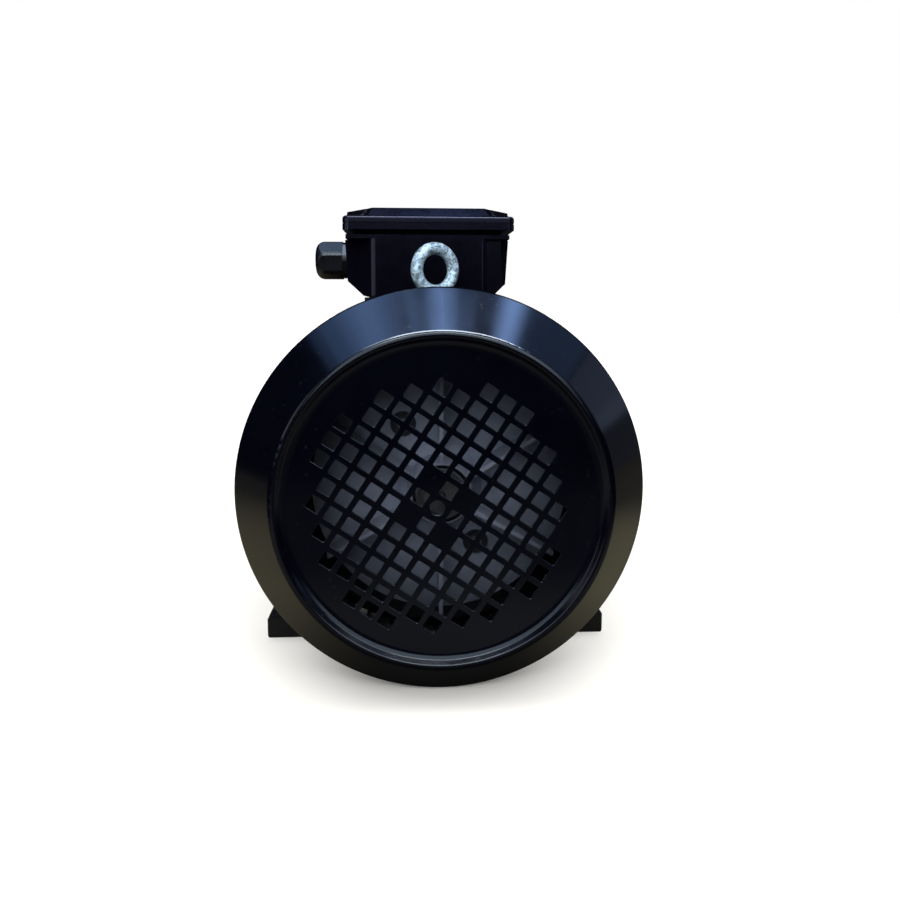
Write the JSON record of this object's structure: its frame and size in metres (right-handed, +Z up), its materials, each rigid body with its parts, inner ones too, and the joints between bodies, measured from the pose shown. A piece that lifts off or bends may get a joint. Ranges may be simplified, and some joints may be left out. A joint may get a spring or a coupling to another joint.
{
  "type": "alternating current motor",
  "caption": "Foot-mounted, fan-cooled alternating current motor: finned frame, coned fan cowl with a punched grille, top terminal box with cable gland, lifting eye and keyed drive shaft.",
  "frame": {"origin": "centre of the four foot holes, on the mounting plane under the feet", "axes": "+Y along the shaft towards the drive end, +Z up, +X to the right seen from the fan cowl"},
  "size_m": [0.315, 0.6002, 0.3935],
  "materials": {
    "painted_aluminium": "black semi-gloss paint on cast aluminium",
    "painted_sheet": "black gloss paint on pressed steel sheet",
    "zinc_steel": "bright zinc plate",
    "ground_steel": "turned and ground",
    "bearing_steel": "ground bearing steel",
    "pressed_steel": "pressed steel",
    "core_steel": "stacked electrical sheet",
    "copper_wire": "varnished copper wire",
    "cast_aluminium": "die cast",
    "plate_aluminium": "brushed, blank",
    "fan_plastic": "moulded, grey",
    "black_plastic": "moulded, satin black",
    "board_plastic": "moulded, red brown",
    "brass": "machined brass",
    "rubber": "moulded rubber"
  },
  "bodies": {
    "motor_frame": {"stator_frame": "painted_aluminium", "foot_left": "painted_aluminium", "foot_right": "painted_aluminium", "drive_end_shield": "painted_aluminium", "rear_end_shield": "painted_aluminium", "fan_cowl": "painted_sheet", "eye_bolt": "zinc_steel", "foot_screws": "zinc_steel", "drive_shield_bolts": "zinc_steel", "rear_shield_bolts": "zinc_steel", "cowl_screws": "zinc_steel", "box_screws": "zinc_steel", "lid_screws": "zinc_steel", "board_screws": "zinc_steel", "earth_screw": "zinc_steel", "front_bearing_outer": "bearing_steel", "rear_bearing_outer": "bearing_steel", "front_bearing_plates": "pressed_steel", "rear_bearing_plates": "pressed_steel", "preload_spring": "pressed_steel", "bearing_circlip": "pressed_steel", "stator_core": "core_steel", "stator_winding": "copper_wire", "rating_plate": "plate_aluminium", "plate_rivets": "plate_aluminium", "box_base": "black_plastic", "box_lid": "black_plastic", "gland_body": "black_plastic", "gland_nut": "black_plastic", "gland_locknut": "black_plastic", "terminal_board": "board_plastic", "terminal_studs": "brass", "terminal_nuts": "brass", "terminal_links": "brass", "box_gasket": "rubber", "lid_gasket": "rubber", "gland_washer": "rubber", "gland_seal": "rubber"},
    "rotor": {"shaft": "ground_steel", "rotor_core": "core_steel", "rotor_cage": "cast_aluminium", "fan": "fan_plastic", "fan_key": "ground_steel", "fan_circlip": "pressed_steel", "front_bearing_inner": "bearing_steel", "rear_bearing_inner": "bearing_steel", "front_v_ring": "rubber", "rear_v_ring": "rubber"},
    "front_cage": {"front_bearing_balls": "bearing_steel", "front_bearing_cage": "pressed_steel"},
    "rear_cage": {"rear_bearing_balls": "bearing_steel", "rear_bearing_cage": "pressed_steel"}
  },
  "joints": [
    {"name": "rotor_spin", "type": "hinge", "parent": "motor_frame", "child": "rotor", "pos_m": [0, 0, 0.16], "axis": [0, 1, 0], "continuous": true},
    {"name": "front_cage_spin", "type": "hinge", "parent": "motor_frame", "child": "front_cage", "pos_m": [0, 0.1795, 0.16], "axis": [0, 1, 0], "continuous": true},
    {"name": "rear_cage_spin", "type": "hinge", "parent": "motor_frame", "child": "rear_cage", "pos_m": [0, -0.1725, 0.16], "axis": [0, 1, 0], "continuous": true}
  ],
  "couplings": [
    {"joint": "front_cage_spin", "follows": "rotor_spin", "ratio": 0.3796},
    {"joint": "rear_cage_spin", "follows": "rotor_spin", "ratio": 0.3796}
  ]
}
